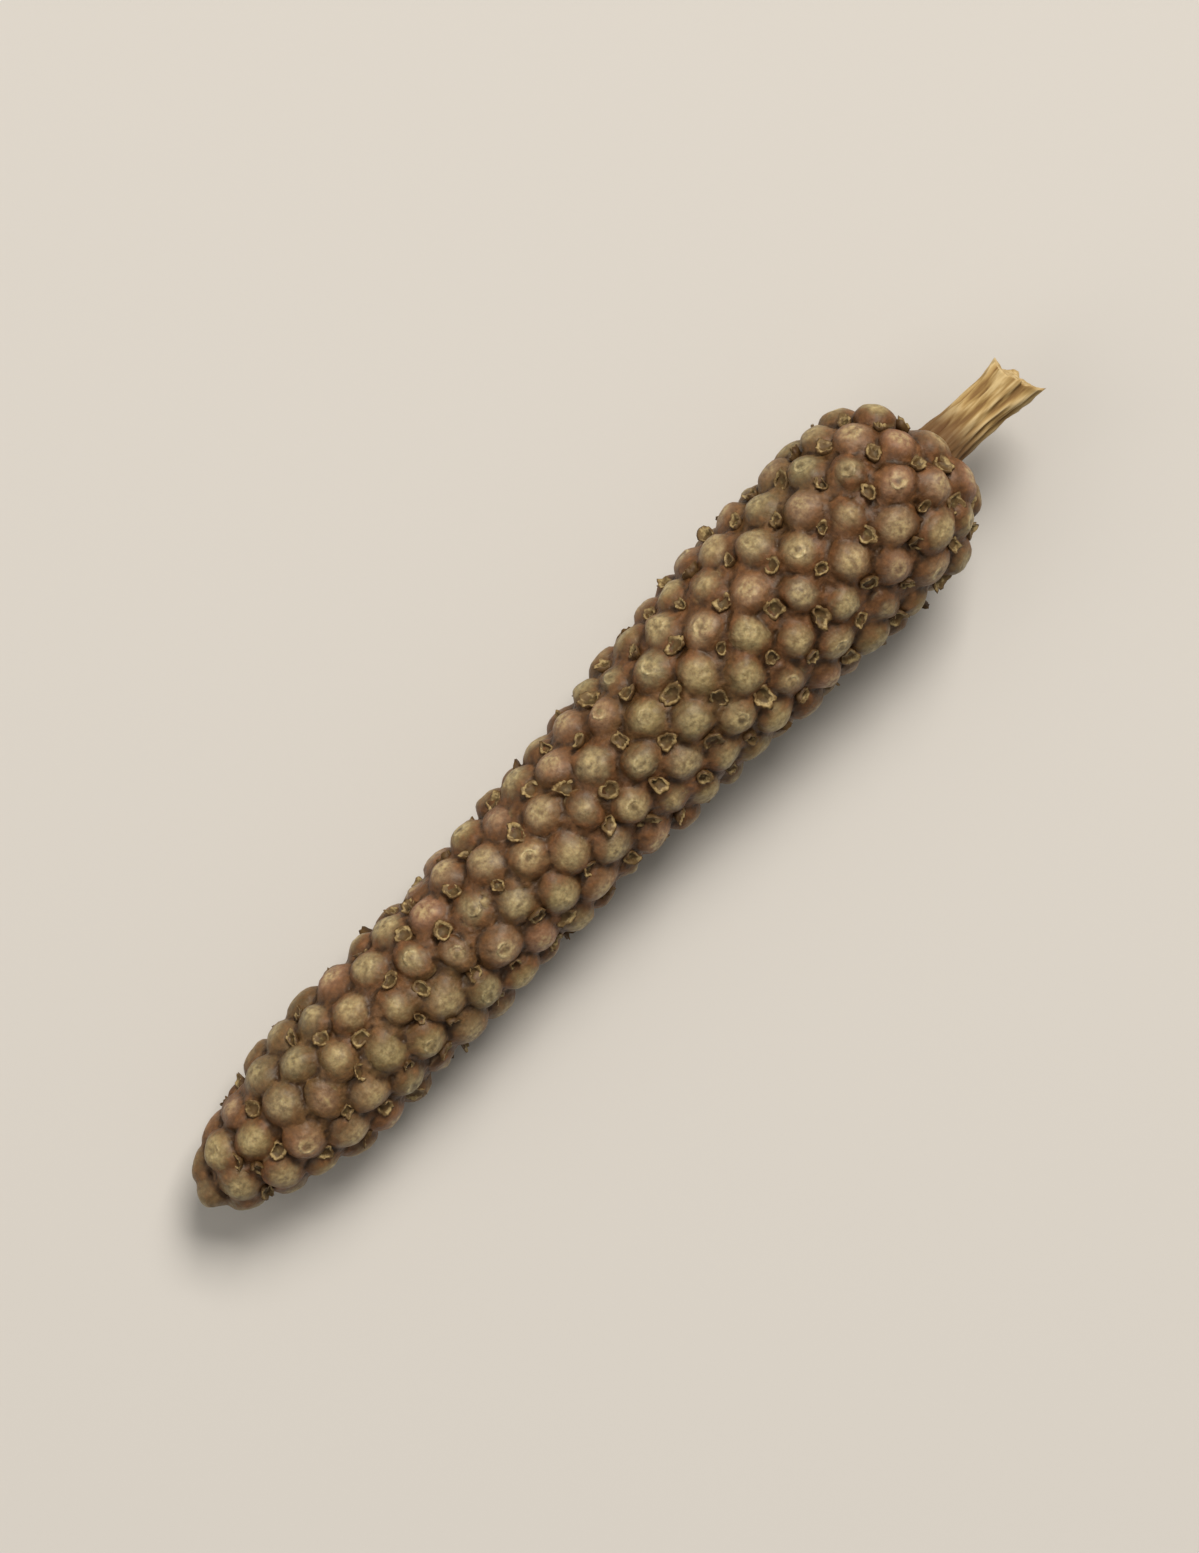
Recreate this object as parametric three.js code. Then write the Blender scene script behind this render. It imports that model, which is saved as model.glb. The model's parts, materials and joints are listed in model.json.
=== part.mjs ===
// A dried long pepper, lying on its side: one fruit spike of small berries grown together round its axis,
// with a dry bract in the gap behind each berry, and the short cut stalk that the spike hung from.
// Millimetres, +Z up. +X points along the spike from its tip towards its stalk, and the spike lies on z = 0.
import * as THREE from "three";
import { ConvexHull } from "three/addons/math/ConvexHull.js";

// Sizes of the whole spike. x is measured from the tip along the axis.
const SPIKE_LENGTH = 41.3;
const THIN_RADIUS = 3.15; // over the berry tops, in the half nearer the tip
const SWELL = 1.05; // how much thicker the half nearer the stalk is, in radius
const SWELL_FROM = 16;
const SWELL_TO = 36;
const TIP_LENGTH = 8; // the tapering end
const BASE_LENGTH = 4.2; // the blunt shoulder round the stalk
const TIP_POWER = 1.8;
const BASE_POWER = 2.3;
const SOCKET_DEPTH = 0.9; // the shoulder dips in where the stalk comes out
const SOCKET_FLOOR = 1.22;
const SOCKET_RADIUS = 1.45;
const SWAY = 0.52; // sideways bend of the axis
const SWAY_WAVE = 58;
const SWAY_MIDDLE = 20;
const TILT = 0.0405; // the thick end lifts the axis, as the spike lies on a table
const TIP_HEIGHT = 2.51; // of the axis over the table, at the tip; berries that reach under it are flat

// Berries grow along one spiral from the tip. Each takes one cell of skin, and each turns a little further.
const CELL_AREA = 3.49;
const TURN_PER_BERRY = 0.11667;
const ROW_SPACING = 2.1; // where the spike is thin, berries turn further, to keep this apart round it
const FIRST_CELLS = 1.9; // the skin that the berry at the very tip takes
const BASE_EDGE = 2.85; // arc length from the last berries to the middle of the socket
const SPACING = 1.86; // berries closer than this push each other apart
const PUSHES = 24;
const PUSH_SHARE = 0.25; // of what they lack, at each push
const JITTER = 0.1;
const BRACTS_BEHIND = 8.5; // a bract sits this many berries on, in the gap behind its berry
const BRACT_ROOM = 0.98;

// Relief: how far each thing lies under the outline over the berry tops.
const BERRY_RADIUS = 0.84;
const BERRY_VARIETY = 0.08; // a berry is this share wider or narrower
const BERRY_RINGS = [
  { reach: 0.45, drop: 0.07, points: 5 },
  { reach: 0.88, drop: 0.36, points: 8 },
];
const SUNKEN = 0.14; // the most that a whole berry sits lower than its neighbours
const TOUCHING = 2.2; // berries with centres closer than this meet in a valley
const VALLEY = 0.6;
const BRACT_RADIUS = 0.52;
const BRACT_RIM = 0.34;
const BRACT_CUP = 0.58;
const BRACT_CORNERS = 4;
const BRACT_TURN = 0.4; // of a corner's share of the circle, and as much as half of that again by chance
const SOCKET_RINGS = [ // points round the socket, at arc lengths back from its middle
  { back: 0.65, points: 7 },
  { back: 1.22, points: 14 },
  { back: 2.15, points: 14 },
];

const STALK_OUT = 3.75; // how far it reaches past the spike
const STALK_RADIUS = 0.92;
const STALK_WAIST = 0.3; // the share of its length where it is thinnest
const STALK_FLARE = 0.35;
const STALK_RIDGES = 7;
const STALK_RIDGE_HEIGHT = 0.07;
const STALK_TWIST = 0.8;
const STALK_CUT = 0.3; // how much the cut end slants, per millimetre across
const STALK_CUT_FACES = 0.6;
const STALK_SIDES = 28;
const STALK_RINGS = 7;
const JOINT_GAP = 0.3;

const TAU = 2 * Math.PI;

// A number from 0 to 1 that is always the same for one berry and one use.
function draw(index, use) {
  const wave = Math.sin(index * 127.1 + use * 311.7) * 43758.5453;
  return wave - Math.floor(wave);
}

// The outline over the berry tops, as rows from the very tip to the bottom of the stalk's socket.
function makeOutline(steps = 1200) {
  const rows = [];
  for (let i = 0; i <= steps; i++) {
    const x = (SPIKE_LENGTH / 2) * (1 - Math.cos((Math.PI * i) / steps));
    const swell = THREE.MathUtils.smoothstep(x, SWELL_FROM, SWELL_TO);
    const tip = Math.max(0, 1 - x / TIP_LENGTH) ** TIP_POWER;
    const base = Math.max(0, 1 - (SPIKE_LENGTH - x) / BASE_LENGTH) ** 2;
    const r = (THIN_RADIUS + SWELL * swell) * Math.sqrt(1 - tip) * (1 - base) ** (1 / BASE_POWER);
    const inward = x > SPIKE_LENGTH / 2 ? 1 - THREE.MathUtils.smoothstep(r, SOCKET_FLOOR, SOCKET_RADIUS) : 0;
    rows.push({ x: x - SOCKET_DEPTH * inward, r });
  }
  let last = { ...rows[0], arc: 0, area: 0, stretch: 0 };
  for (const row of rows) {
    const step = Math.hypot(row.x - last.x, row.r - last.r);
    const middle = (row.r + last.r) / 2;
    row.arc = last.arc + step;
    row.area = last.area + TAU * middle * step;
    row.stretch = last.stretch + (middle > 0 ? step / middle : 0); // turns the outline into a straight map
    last = row;
  }
  return rows;
}
const outline = makeOutline();
const END = outline[outline.length - 1];

// The outline's row where one of its columns reaches a value, with the surface's slope there.
function outlineAt(column, value) {
  let low = 0;
  let high = outline.length - 1;
  while (high - low > 1) {
    const middle = (low + high) >> 1;
    if (outline[middle][column] < value) low = middle;
    else high = middle;
  }
  const [a, b] = [outline[low], outline[high]];
  const t = THREE.MathUtils.clamp((value - a[column]) / (b[column] - a[column]), 0, 1);
  const row = { slopeX: (b.x - a.x) / (b.arc - a.arc), slopeR: (b.r - a.r) / (b.arc - a.arc) };
  for (const key of ["x", "r", "arc", "area", "stretch"]) row[key] = a[key] + t * (b[key] - a[key]);
  return row;
}

const swayAt = (x) => SWAY * Math.sin((TAU * (x - SWAY_MIDDLE)) / SWAY_WAVE);
const liftAt = (x) => TIP_HEIGHT + TILT * x;

// A point over or under the outline: arc length along it, angle round it, and height off it.
function spikePoint(arc, angle, height) {
  const at = outlineAt("arc", arc);
  const x = at.x - at.slopeR * height;
  const r = at.r + at.slopeX * height;
  return new THREE.Vector3(x, swayAt(at.x) + r * Math.cos(angle), liftAt(at.x) + r * Math.sin(angle));
}

// The way over the skin from one place to another.
function wayBetween(a, b) {
  const turn = Math.atan2(Math.sin(b.angle - a.angle), Math.cos(b.angle - a.angle));
  const along = b.arc - a.arc;
  const across = turn * Math.min(a.r, b.r);
  return { turn, along, across, length: Math.hypot(along, across) };
}

// Moves a place along the skin and round it.
function shift(place, along, across) {
  place.arc += along;
  if (place.r > 0) place.angle += across / place.r;
  place.r = outlineAt("arc", place.arc).r;
}

// The berries' places, as {arc, angle, r}, evened out, and with a bract wherever there is room for one.
function growBerries() {
  const berries = [{ arc: 0, angle: 0, r: 0 }];
  const lastArea = outlineAt("arc", END.arc - BASE_EDGE).area;
  let angle = 0;
  for (let area = FIRST_CELLS * CELL_AREA; area < lastArea; area += CELL_AREA) {
    const { arc, r } = outlineAt("area", area);
    berries.push({ arc, angle, r });
    angle -= TAU * Math.max(TURN_PER_BERRY, ROW_SPACING / (TAU * r));
  }
  for (let push = 0; push < PUSHES; push++)
    for (const berry of berries.slice(1))
      for (const other of berries) {
        if (other === berry || Math.abs(other.arc - berry.arc) > SPACING) continue;
        const way = wayBetween(other, berry);
        const share = PUSH_SHARE * Math.max(0, SPACING / way.length - 1);
        shift(berry, share * way.along, share * way.across);
      }
  const roomAt = (place, self) => {
    const ways = berries.filter((other) => other !== self).map((other) => wayBetween(place, other).length);
    return Math.min(...ways);
  };
  berries.slice(1).forEach((berry, i) => {
    shift(berry, JITTER * (2 * draw(i, 1) - 1), JITTER * (2 * draw(i, 2) - 1));
  });
  for (const berry of berries) {
    berry.room = roomAt(berry, berry);
    if (berry.r === 0) continue;
    const bract = { ...berry };
    shift(bract, (BRACTS_BEHIND * CELL_AREA) / (TAU * berry.r), 0);
    if (bract.arc < END.arc - BASE_EDGE && roomAt(bract) > BRACT_ROOM) berry.bract = bract;
  }
  return berries;
}

// The spike's skin: points at the heights that berries, bracts and the valleys between them have. They are
// laid out on a ball by a map that keeps shapes, and their hull there joins them into one closed surface.
function makeSpike() {
  const points = [];
  const add = (arc, angle, height) => points.push({ arc, angle, height });
  const addAround = (centre, along, across, height) => {
    if (centre.arc === 0) add(Math.hypot(along, across), Math.atan2(across, along), height);
    else add(centre.arc + along, centre.angle + across / outlineAt("arc", centre.arc).r, height);
  };
  const addRing = (centre, radius, count, turned, height) => {
    for (let i = 0; i < count; i++) {
      const a = TAU * ((i + turned) / count);
      addAround(centre, radius * Math.cos(a), radius * Math.sin(a), height);
    }
  };
  const berries = growBerries();
  berries.forEach((berry, i) => {
    const variety = 1 + BERRY_VARIETY * (2 * draw(i, 3) - 1);
    const radius = variety * Math.min(BERRY_RADIUS, berry.room / 2);
    const sunken = SUNKEN * draw(i, 4);
    addAround(berry, 0, 0, -sunken);
    for (const { reach, drop, points } of BERRY_RINGS)
      addRing(berry, reach * radius, points, draw(i, 4 + points), -sunken - drop);
    for (const other of berries.slice(i + 1)) {
      const way = wayBetween(berry, other);
      if (way.length < TOUCHING) addAround(berry, way.along / 2, way.across / 2, -VALLEY);
    }
    if (!berry.bract) return;
    addAround(berry.bract, 0, 0, -BRACT_CUP);
    addRing(berry.bract, BRACT_RADIUS, BRACT_CORNERS, BRACT_TURN * (1 + draw(i, 5) / 2), -BRACT_RIM);
  });
  for (const { back, points: count } of SOCKET_RINGS)
    for (let i = 0; i < count; i++) add(END.arc - back, (TAU * (i + back)) / count, 0);
  add(END.arc, 0, 0);

  const middle = outlineAt("arc", END.arc / 2).stretch;
  const onBall = points.map(({ arc, angle }) => {
    if (arc <= 0) return new THREE.Vector3(-1, 0, 0);
    if (arc >= END.arc) return new THREE.Vector3(1, 0, 0);
    const latitude = 2 * Math.atan(Math.exp(outlineAt("arc", arc).stretch - middle)) - Math.PI / 2;
    const round = Math.cos(latitude);
    return new THREE.Vector3(Math.sin(latitude), round * Math.cos(angle), round * Math.sin(angle));
  });
  const order = new Map(onBall.map((p, i) => [p, i]));
  const index = [];
  for (const face of new ConvexHull().setFromPoints(onBall).faces) {
    let edge = face.edge;
    do {
      index.push(order.get(edge.head().point));
      edge = edge.next;
    } while (edge !== face.edge);
  }
  const vertices = points.map(({ arc, angle, height }) => {
    const p = spikePoint(arc, angle, height);
    return p.setZ(Math.max(p.z, 0));
  });
  return new THREE.BufferGeometry().setFromPoints(vertices).setIndex(index);
}

// The stalk: ridged lengthwise, a little wider at its slanting cut end, and rooted in the spike's socket.
function makeStalk() {
  const from = END.x + JOINT_GAP;
  const to = SPIKE_LENGTH + STALK_OUT;
  const vertices = [];
  const index = [];
  for (let i = 0; i < STALK_RINGS; i++) {
    const t = i / (STALK_RINGS - 1);
    for (let j = 0; j < STALK_SIDES; j++) {
      const angle = (TAU * j) / STALK_SIDES;
      const ridge = STALK_RIDGE_HEIGHT * Math.cos(STALK_RIDGES * angle + STALK_TWIST * t);
      const r = STALK_RADIUS + STALK_FLARE * (t - STALK_WAIST) ** 2 + ridge;
      const cut = STALK_CUT * t * t * (STALK_RADIUS + r * Math.cos(angle - STALK_CUT_FACES));
      const x = from + (to - from) * t - cut;
      vertices.push(new THREE.Vector3(x, r * Math.cos(angle), r * Math.sin(angle)));
    }
  }
  const next = (j) => (j + 1) % STALK_SIDES;
  for (let i = 0; i + 1 < STALK_RINGS; i++)
    for (let j = 0; j < STALK_SIDES; j++) {
      const [a, b] = [i * STALK_SIDES + j, i * STALK_SIDES + next(j)];
      index.push(a, b, a + STALK_SIDES, b, b + STALK_SIDES, a + STALK_SIDES);
    }
  for (const [ring, outwards] of [
    [0, false],
    [STALK_RINGS - 1, true],
  ]) {
    const first = ring * STALK_SIDES;
    const centre = new THREE.Vector3();
    for (let j = 0; j < STALK_SIDES; j++) centre.addScaledVector(vertices[first + j], 1 / STALK_SIDES);
    vertices.push(centre);
    for (let j = 0; j < STALK_SIDES; j++) {
      const edge = outwards ? [first + j, first + next(j)] : [first + next(j), first + j];
      index.push(vertices.length - 1, ...edge);
    }
  }
  for (const v of vertices) v.add(new THREE.Vector3(0, swayAt(v.x), liftAt(v.x)));
  return new THREE.BufferGeometry().setFromPoints(vertices).setIndex(index);
}

function piece(name, geometry, material) {
  const mesh = new THREE.Mesh(geometry, material);
  mesh.name = name;
  return mesh;
}

// Dried berry skin is a dull reddish brown, and the stalk is straw.
const driedBerry = new THREE.MeshStandardMaterial({ color: 0x6e5538, roughness: 0.6, metalness: 0 });
const driedStalk = new THREE.MeshStandardMaterial({ color: 0xa88c5c, roughness: 0.8, metalness: 0 });

const longPepper = new THREE.Group();
longPepper.add(piece("fruit_spike", makeSpike(), driedBerry));
longPepper.add(piece("stalk", makeStalk(), driedStalk));

// The origin is under the middle of the whole pepper, on the table.
const middle = new THREE.Box3().setFromObject(longPepper).getCenter(new THREE.Vector3());
longPepper.position.set(-middle.x, -middle.y, 0);

export default longPepper;
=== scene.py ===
# %% [markdown]
# # A dried long pepper
#
# Long pepper is a spice: a whole spike of small berries that grew together round one axis and were dried.
# This one lies on its side and still has a short piece of its stalk. Each berry is a dome that stands out of
# the brown flesh between them, and most gaps hold a bract, a dry scale with a pale curled rim.
#
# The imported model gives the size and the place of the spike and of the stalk. This script grows the same
# berries again, in the same places, as fine meshes, and gives each surface its finish.

# %% Load the frame
import json
import math

import bmesh
import bpy
import numpy as np
from mathutils import Matrix, Vector, noise

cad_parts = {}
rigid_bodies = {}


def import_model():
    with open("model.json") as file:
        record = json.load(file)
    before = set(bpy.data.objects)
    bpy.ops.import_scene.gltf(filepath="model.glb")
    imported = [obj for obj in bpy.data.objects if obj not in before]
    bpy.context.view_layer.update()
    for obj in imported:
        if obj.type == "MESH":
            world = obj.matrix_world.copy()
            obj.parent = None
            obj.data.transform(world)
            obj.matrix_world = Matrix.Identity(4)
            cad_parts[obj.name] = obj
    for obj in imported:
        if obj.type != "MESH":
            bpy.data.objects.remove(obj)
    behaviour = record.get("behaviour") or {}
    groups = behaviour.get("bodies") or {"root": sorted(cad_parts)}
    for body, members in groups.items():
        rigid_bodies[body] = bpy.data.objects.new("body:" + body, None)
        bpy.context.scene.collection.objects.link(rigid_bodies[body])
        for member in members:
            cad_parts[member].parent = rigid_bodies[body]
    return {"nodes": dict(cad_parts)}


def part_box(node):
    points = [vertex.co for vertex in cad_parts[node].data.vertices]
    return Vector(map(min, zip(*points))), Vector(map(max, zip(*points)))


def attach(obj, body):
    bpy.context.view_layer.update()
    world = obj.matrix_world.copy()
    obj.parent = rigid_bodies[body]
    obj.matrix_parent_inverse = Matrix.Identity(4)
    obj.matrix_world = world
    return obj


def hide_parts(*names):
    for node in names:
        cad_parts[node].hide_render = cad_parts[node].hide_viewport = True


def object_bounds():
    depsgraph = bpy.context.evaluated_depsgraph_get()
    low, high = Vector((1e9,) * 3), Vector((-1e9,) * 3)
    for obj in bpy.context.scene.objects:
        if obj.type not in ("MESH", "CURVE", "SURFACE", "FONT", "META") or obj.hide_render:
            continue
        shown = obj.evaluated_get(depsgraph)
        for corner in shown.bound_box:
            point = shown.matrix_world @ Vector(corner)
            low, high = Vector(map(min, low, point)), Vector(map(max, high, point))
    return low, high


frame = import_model()
cad_box = [list(corner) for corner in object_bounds()]
print("The frame holds", sorted(frame["nodes"]), "in the box", cad_box)

# %% [markdown]
# ## The outline
#
# The spike is round, thin near its tip and thicker near its stalk. Its outline over the berry tops is a
# formula, kept as a table by the way along the surface, because berries grow on the surface and are spaced
# over it. Sizes are in millimetres up to the point where a vertex is placed, which is in metres.

# %% Make the outline
MM = 0.001
TAU = 2 * math.pi
SPIKE_LENGTH = 41.3
THIN_RADIUS = 3.15
SWELL = 1.05
SWELL_FROM = 16
SWELL_TO = 36
TIP_LENGTH = 8
BASE_LENGTH = 4.2
TIP_POWER = 1.8
BASE_POWER = 2.3
SOCKET_DEPTH = 0.9
SOCKET_FLOOR = 1.22
SOCKET_RADIUS = 1.45
OUTLINE_STEPS = 1200


def smoothstep(value, low, high):
    """Goes smoothly from 0 at low to 1 at high."""
    t = np.clip((value - low) / (high - low), 0, 1)
    return t * t * (3 - 2 * t)


evenly = np.arange(OUTLINE_STEPS + 1) / OUTLINE_STEPS
along_axis = SPIKE_LENGTH / 2 * (1 - np.cos(math.pi * evenly))
tip = np.maximum(0, 1 - along_axis / TIP_LENGTH) ** TIP_POWER
base = np.maximum(0, 1 - (SPIKE_LENGTH - along_axis) / BASE_LENGTH) ** 2
thickness = THIN_RADIUS + SWELL * smoothstep(along_axis, SWELL_FROM, SWELL_TO)
outline_r = thickness * np.sqrt(1 - tip) * (1 - base) ** (1 / BASE_POWER)
in_socket = (along_axis > SPIKE_LENGTH / 2) * (1 - smoothstep(outline_r, SOCKET_FLOOR, SOCKET_RADIUS))
outline_x = along_axis - SOCKET_DEPTH * in_socket
steps = np.hypot(np.diff(outline_x), np.diff(outline_r))
middles = (outline_r[1:] + outline_r[:-1]) / 2
outline_arc = np.concatenate([[0], np.cumsum(steps)])
outline_area = np.concatenate([[0], np.cumsum(TAU * middles * steps)])
END_ARC = outline_arc[-1]
print(f"The skin is {END_ARC:.1f} mm long from the tip to the socket, and {outline_area[-1]:.0f} mm2")

# %% [markdown]
# ## Where the berries grow
#
# The berries follow one spiral from the tip. Each takes the same area of skin, and the next one is a little
# under an eighth of a turn further, which gives the slanting rows that show on a real spike. Then berries
# that are too close push each other apart. A sine of a large number serves as a dice that always falls
# the same way.

# %% Grow the berries' places
CELL_AREA = 3.49
TURN_PER_BERRY = 0.11667
ROW_SPACING = 2.1
FIRST_CELLS = 1.9
BASE_EDGE = 2.85
SPACING = 1.86
PUSHES = 24
PUSH_SHARE = 0.25
JITTER = 0.1
BRACTS_BEHIND = 8.5


def draw(index, use):
    """A number from 0 to 1 that is always the same for one berry and one use."""
    wave = math.sin(index * 127.1 + use * 311.7) * 43758.5453
    return wave - math.floor(wave)


def radius_at(arc):
    return float(np.interp(arc, outline_arc, outline_r))


def way_between(a, b):
    """How far b is from a over the skin: along it and round it."""
    turn = math.atan2(math.sin(b["angle"] - a["angle"]), math.cos(b["angle"] - a["angle"]))
    return b["arc"] - a["arc"], turn * min(a["r"], b["r"])


def shift(place, along, across):
    place["arc"] += along
    if place["r"] > 0:
        place["angle"] += across / place["r"]
    place["r"] = radius_at(place["arc"])


def room_at(place, others):
    return min(math.hypot(*way_between(place, other)) for other in others if other is not place)


def grow_berries():
    berries = [{"arc": 0.0, "angle": 0.0, "r": 0.0}]
    last_area = np.interp(END_ARC - BASE_EDGE, outline_arc, outline_area)
    area = FIRST_CELLS * CELL_AREA
    angle = 0.0
    while area < last_area:
        arc = float(np.interp(area, outline_area, outline_arc))
        berries.append({"arc": arc, "angle": angle, "r": radius_at(arc)})
        angle -= TAU * max(TURN_PER_BERRY, ROW_SPACING / (TAU * berries[-1]["r"]))
        area += CELL_AREA
    for _ in range(PUSHES):
        for berry in berries[1:]:
            for other in berries:
                if other is berry or abs(other["arc"] - berry["arc"]) > SPACING:
                    continue
                along, across = way_between(other, berry)
                share = PUSH_SHARE * max(0, SPACING / math.hypot(along, across) - 1)
                if share > 0:
                    shift(berry, share * along, share * across)
    for i, berry in enumerate(berries[1:]):
        shift(berry, JITTER * (2 * draw(i, 1) - 1), JITTER * (2 * draw(i, 2) - 1))
    return berries


berries = grow_berries()
for berry in berries:
    berry["room"] = room_at(berry, berries)
print(len(berries), "berries")

# %% [markdown]
# ## From the skin to the table
#
# A place on the skin is an arc length and an angle. The axis bends a little to one side and then to the
# other, and it climbs towards the thick end, because the spike lies on a table. The frame says where the
# spike is, so the lowest corner of the berries' tops is laid on the lowest corner of its box in length and
# width.

# %% Place points in the frame
SWAY = 0.52
SWAY_WAVE = 58
SWAY_MIDDLE = 20
TILT = 0.0405
TIP_HEIGHT = 2.51
SUNKEN = 0.14
BERRY_RADIUS = 0.84
BERRY_VARIETY = 0.08
CROWN_REACH = 0.45
CROWN_DROP = 0.07
CROWN_POINTS = 5
LOOK_AHEAD = 0.05


def axis_at(x):
    """The y and z of the spike's axis, in millimetres, at a distance from the tip."""
    return SWAY * np.sin(TAU * (x - SWAY_MIDDLE) / SWAY_WAVE), TIP_HEIGHT + TILT * x


def skin_points(arcs, angles, heights):
    """Points in millimetres, with the origin at the tip, for arrays of places and heights off the outline."""
    arcs = np.asarray(arcs, float)
    x = np.interp(arcs, outline_arc, outline_x)
    r = np.interp(arcs, outline_arc, outline_r)
    slot = np.clip(np.searchsorted(outline_arc, arcs) - 1, 0, OUTLINE_STEPS - 1)
    slope_x = (outline_x[slot + 1] - outline_x[slot]) / (outline_arc[slot + 1] - outline_arc[slot])
    slope_r = (outline_r[slot + 1] - outline_r[slot]) / (outline_arc[slot + 1] - outline_arc[slot])
    reach = r + slope_x * heights
    sway, lift = axis_at(x)
    return np.stack([x - slope_r * heights, sway + reach * np.cos(angles), lift + reach * np.sin(angles)], 1)


def crown_points():
    """The ring of points near each berry's top, as the frame's own berries have it."""
    rows = []
    for i, berry in enumerate(berries):
        variety = 1 + BERRY_VARIETY * (2 * draw(i, 3) - 1)
        berry["radius"] = variety * min(BERRY_RADIUS, berry["room"] / 2)
        berry["sunken"] = SUNKEN * draw(i, 4)
        rows.append((berry["arc"], berry["angle"], -berry["sunken"]))
        for j in range(CROWN_POINTS if berry["r"] > 0 else 0):
            a = TAU * (j + draw(i, 4 + CROWN_POINTS)) / CROWN_POINTS
            across = CROWN_REACH * berry["radius"] * math.sin(a) / berry["r"]
            along = CROWN_REACH * berry["radius"] * math.cos(a)
            rows.append((berry["arc"] + along, berry["angle"] + across, -berry["sunken"] - CROWN_DROP))
    return skin_points(*np.array(rows).T)


spike_low, spike_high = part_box("fruit_spike")
own_low = crown_points().min(0)
own_high = crown_points().max(0)
to_frame = Vector((spike_low.x / MM - own_low[0], spike_low.y / MM - own_low[1], 0))
miss = abs(own_high[1] + to_frame.y - spike_high.y / MM)
print(f"The tip is at {to_frame.x:.2f}, {to_frame.y:.2f} mm, and the other side is {miss:.3f} mm off")


def in_frame(arcs, angles, heights):
    """The same points in metres, in the frame."""
    return (skin_points(arcs, angles, heights) + np.array(to_frame)) * MM


def seat(place, height):
    """A matrix that stands a small thing on the skin: its Z points out, and its X along the skin."""
    arcs = [place["arc"], place["arc"], place["arc"] + LOOK_AHEAD]
    low, high, ahead = (Vector(p) for p in in_frame(arcs, [place["angle"]] * 3, np.array([0, 1, 0])))
    out = (high - low).normalized()
    across = out.cross(ahead - low).normalized()
    along = across.cross(out)
    matrix = Matrix((along, across, out)).transposed().to_4x4()
    matrix.translation = low + out * height * MM
    return matrix


def new_object(name, bm, collection=None):
    """Keeps bm as a mesh object, in a collection or straight in the scene, and frees bm."""
    mesh = bpy.data.meshes.new(name)
    bm.to_mesh(mesh)
    bm.free()
    made = bpy.data.objects.new(name, mesh)
    (collection or bpy.context.scene.collection).objects.link(made)
    return made


# %% [markdown]
# ## The flesh between the berries
#
# Brown dried flesh fills the gaps, a little lower than the berries' tops, and closes in a puckered collar
# round the stalk. A profile line is spun round the axis, which gives even rings, and its points are then
# moved to their places with a little noise. Each vertex remembers how far it is from the nearest berry, so
# that the finish can tell the flesh from the berries' feet.

# %% Spin the flesh
FOOT_DEPTH = 0.5
GAP_DEPTH = 0.66
GAP_FROM = 1.0  # in the nearest berry's radii
GAP_TO = 1.5
FLESH_LUMP = 0.16
FLESH_LUMP_SIZE = 0.8
FLESH_FOLD = 0.12
FLESH_FOLD_SIZE = 0.38
FLESH_FOLD_LEVEL = 0.35
FLESH_RINGS = 290
FLESH_SIDES = 136
FLESH_SEED = -1.0  # a berry's seed is 0 to 1, so this one tells the flesh
SEAM = 1e-4
FAR = 9.0  # further than any berry
ROOT_FROM = 2.6  # arc length back from the socket's middle, where the flesh meets the stalk
ROOT_TO = 2.35
COLLAR_FROM = 3.3
COLLAR_TO = 2.3
COLLAR_CLOSES = 0.38
PUCKER = 0.1
PUCKER_RISE = 0.05
PUCKER_SIZE = 0.4

bm = bmesh.new()
arc_layer = bm.verts.layers.float.new("arc")
last = None
for i in range(FLESH_RINGS + 1):
    arc = END_ARC * i / FLESH_RINGS
    on_axis = i in (0, FLESH_RINGS)
    along = float(np.interp(arc, outline_arc, outline_x))
    vertex = bm.verts.new((along, 0 if on_axis else radius_at(arc), 0))
    vertex[arc_layer] = arc
    if last:
        bm.edges.new((last, vertex))
    last = vertex
bmesh.ops.spin(bm, geom=bm.verts[:] + bm.edges[:], cent=(0, 0, 0), axis=(1, 0, 0), angle=TAU,
               steps=FLESH_SIDES, use_merge=True)
bmesh.ops.remove_doubles(bm, verts=bm.verts, dist=SEAM)
bmesh.ops.recalc_face_normals(bm, faces=bm.faces)
arcs = np.array([v[arc_layer] for v in bm.verts])
angles = np.array([math.atan2(v.co.z, v.co.y) for v in bm.verts])
print("The profile was spun into", len(bm.faces), "faces")

# %% Move the flesh to its place


def nearest_reach(arcs, angles):
    """For each place, how far the nearest berry's middle is, in that berry's radii."""
    best = np.full(len(arcs), FAR)
    radii = np.interp(arcs, outline_arc, outline_r)
    for berry in berries:
        turn = angles - berry["angle"]
        across = np.arctan2(np.sin(turn), np.cos(turn)) * np.minimum(radii, max(berry["r"], 0.01))
        best = np.minimum(best, np.hypot(arcs - berry["arc"], across) / berry["radius"])
    return best


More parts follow.
